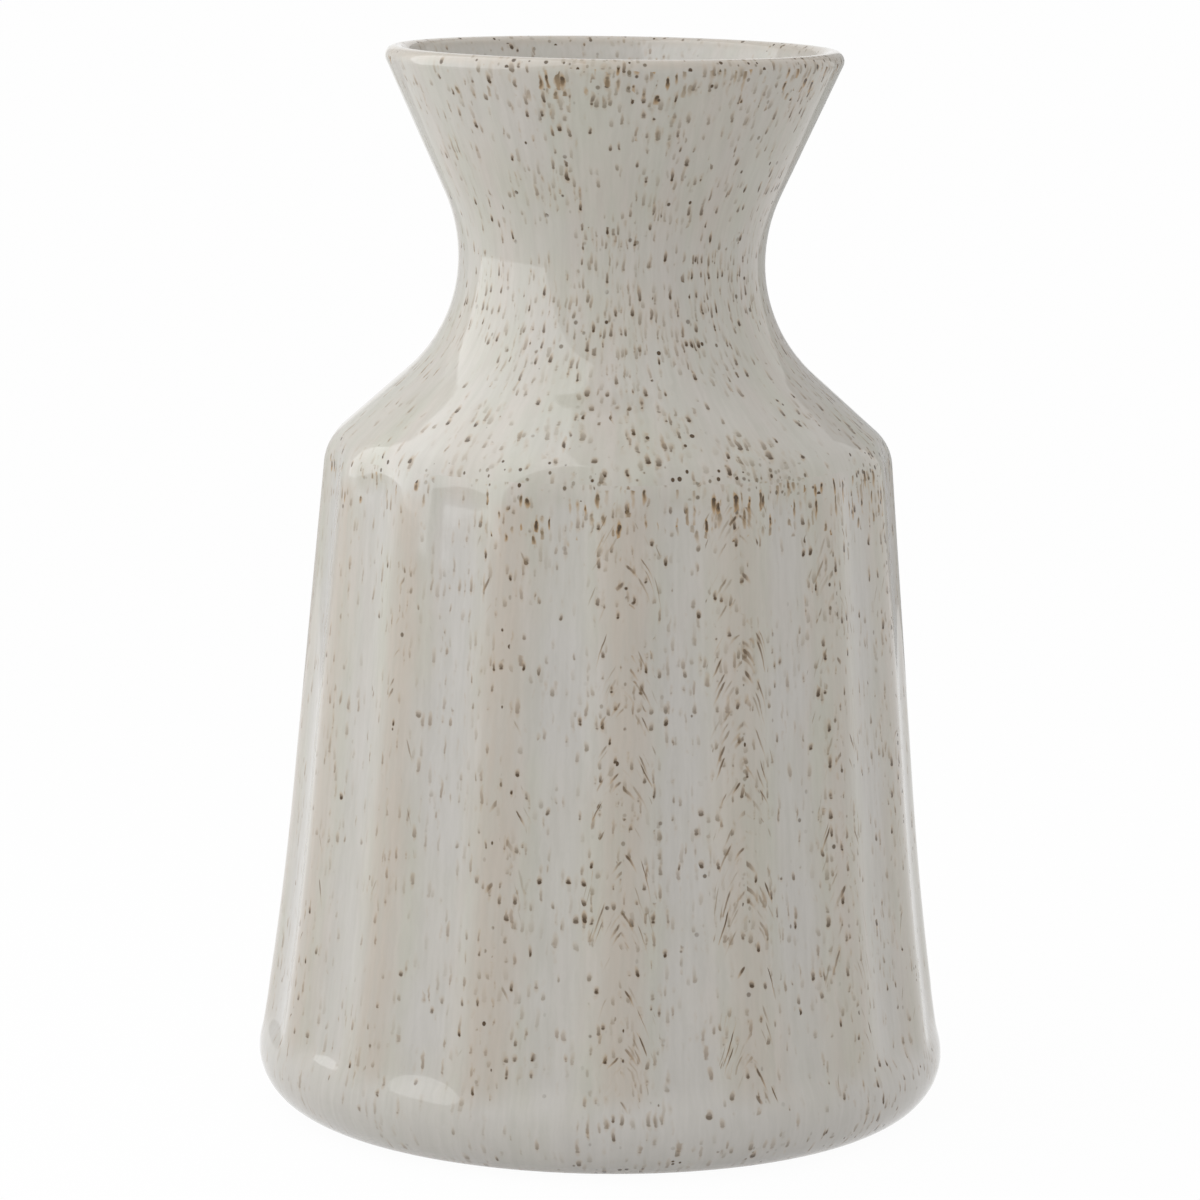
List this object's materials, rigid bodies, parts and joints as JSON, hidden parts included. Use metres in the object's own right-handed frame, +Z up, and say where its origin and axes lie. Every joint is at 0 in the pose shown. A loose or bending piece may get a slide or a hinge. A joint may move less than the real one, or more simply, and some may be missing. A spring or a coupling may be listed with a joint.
{
  "type": "bottle vase",
  "caption": "Bottle vase with a fluted, bell-shaped wall, a shoulder cone, a narrow waist and a flared mouth; holds cut flowers in water and stands on a flat foot ring.",
  "frame": {"origin": "centre of the foot ring, on the surface that the vase stands on", "axes": "+Z up along the vase's axis; +X and +Y each pass through the crest of a ridge"},
  "size_m": [0.163, 0.163, 0.25],
  "materials": {
    "bare_clay": "unglazed fired stoneware, matt and fine-grained, bare only on the foot ring",
    "speckled_glaze": "glossy off-white reactive glaze with brown specks and short vertical streaks"
  },
  "bodies": {
    "root": {"clay_body": "bare_clay", "outer_glaze": "speckled_glaze", "liner_glaze": "speckled_glaze", "base_glaze": "speckled_glaze"}
  },
  "joints": []
}
